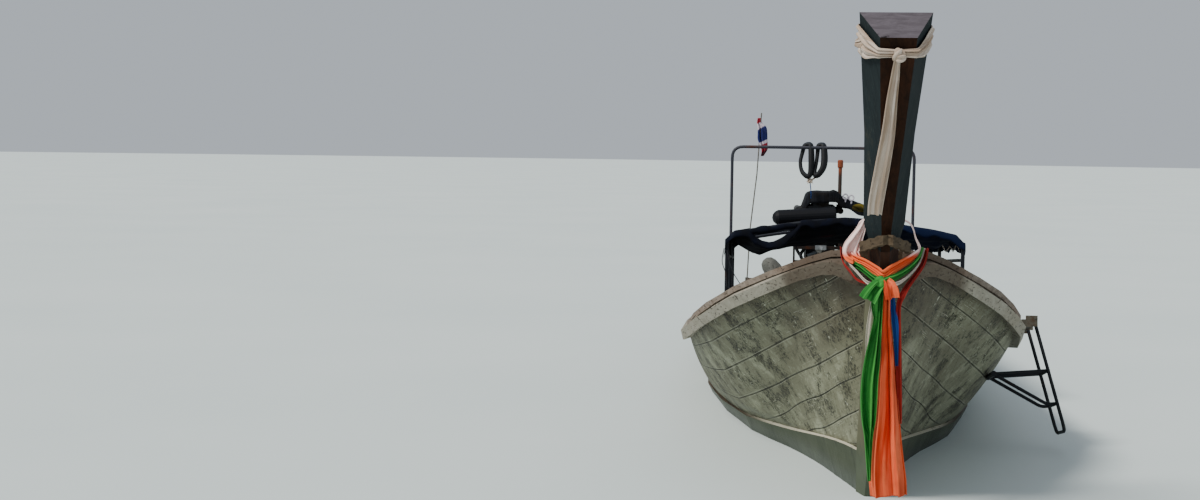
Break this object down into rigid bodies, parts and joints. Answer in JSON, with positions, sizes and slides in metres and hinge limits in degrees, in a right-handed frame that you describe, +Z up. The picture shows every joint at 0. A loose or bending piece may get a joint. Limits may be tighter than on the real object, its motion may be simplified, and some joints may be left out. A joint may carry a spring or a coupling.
{
  "type": "longtail boat",
  "caption": "Open wooden longtail boat with a tall prow post, low canopy, stern hoop, boarding ladder and an engine on a swivelling, tilting mount with a long propeller shaft.",
  "frame": {"origin": "on the waterplane and the centreline, 3.5 m aft of the point where the stem meets the water", "axes": "+Y aft along the keel, +X to port, +Z up, normal to the water"},
  "size_m": [2.0436, 11.2008, 2.416],
  "materials": {
    "plank": "weathered paint over planks",
    "bottom_wood": "painted, stained near the water",
    "rail": "bare sun-bleached timber",
    "cap_wood": "worn timber",
    "post_paint": "dark worn paint",
    "inner_wood": "dark oiled timber",
    "hoop_steel": "worn, rust stained",
    "black_steel": "satin black",
    "tarp": "woven plastic sheet",
    "rubber": "matte",
    "engine_iron": "oily dark",
    "black_gloss": "gloss black",
    "rusty_steel": "rusty",
    "galvanised": "dull zinc",
    "aluminium": "cast",
    "bronze": "dull",
    "sash_cloth": "cream cloth",
    "garland_cloth": "coloured ribbon",
    "flag_cloth": "faded cloth",
    "staff_wood": "thin pole"
  },
  "bodies": {
    "hull": {"backbone": "post_paint", "prow_post": "post_paint", "bottom_planking": "bottom_wood", "side_planking_port": "plank", "side_planking_starboard": "plank", "transom": "plank", "rubrail_port": "rail", "rubrail_starboard": "rail", "mooring_post": "rail", "gunwale_cap_port": "cap_wood", "gunwale_cap_starboard": "cap_wood", "bow_beam": "inner_wood", "floor_frames_fore": "inner_wood", "floor_frames_mid": "inner_wood", "floor_frames_aft": "inner_wood", "framing_port": "inner_wood", "framing_starboard": "inner_wood", "foredeck": "inner_wood", "aft_deck": "inner_wood", "floorboards": "inner_wood", "thwart_1": "inner_wood", "thwart_2": "inner_wood", "thwart_3": "inner_wood", "thwart_4": "inner_wood", "thwart_5": "inner_wood", "engine_beam": "inner_wood", "swivel_base": "rusty_steel", "stern_hoop": "hoop_steel", "engine_sling": "rubber", "canopy_frame": "black_steel", "ladder_hinge": "black_steel", "canopy_cover": "tarp", "flag_staff": "staff_wood", "flag": "flag_cloth", "sash": "sash_cloth", "garland": "garland_cloth"},
    "swivel": {"yoke": "rusty_steel"},
    "engine": {"engine_frame": "rusty_steel", "engine_block": "engine_iron", "cylinder_head": "aluminium", "oil_pan": "engine_iron", "flywheel_housing": "aluminium", "gearbox": "engine_iron", "intake_manifold": "aluminium", "exhaust_manifold": "rusty_steel", "exhaust_stack": "rusty_steel", "silencer": "black_gloss", "belt_drive": "engine_iron", "generator": "aluminium", "starter": "engine_iron", "tiller": "galvanised", "tail_tube": "galvanised", "tail_fin": "galvanised"},
    "screw": {"propeller": "bronze"},
    "boarding_ladder": {"ladder": "black_steel"}
  },
  "joints": [
    {"name": "engine_swivel", "type": "hinge", "parent": "hull", "child": "swivel", "pos_m": [0, 3.5, 0.45], "axis": [0, 0, 1], "range_deg": [-35, 35]},
    {"name": "engine_tilt", "type": "hinge", "parent": "swivel", "child": "engine", "pos_m": [0, 3.5, 0.74], "axis": [1, 0, 0], "range_deg": [-18, 12]},
    {"name": "propeller_spin", "type": "hinge", "parent": "engine", "child": "screw", "pos_m": [0, 6.67, 0.74], "axis": [0, 1, 0], "continuous": true},
    {"name": "ladder_swing", "type": "hinge", "parent": "hull", "child": "boarding_ladder", "pos_m": [0.89945, -2.11814, 0.653], "axis": [-0.0328, -0.9771, 0.2104], "range_deg": [0, 75]}
  ]
}
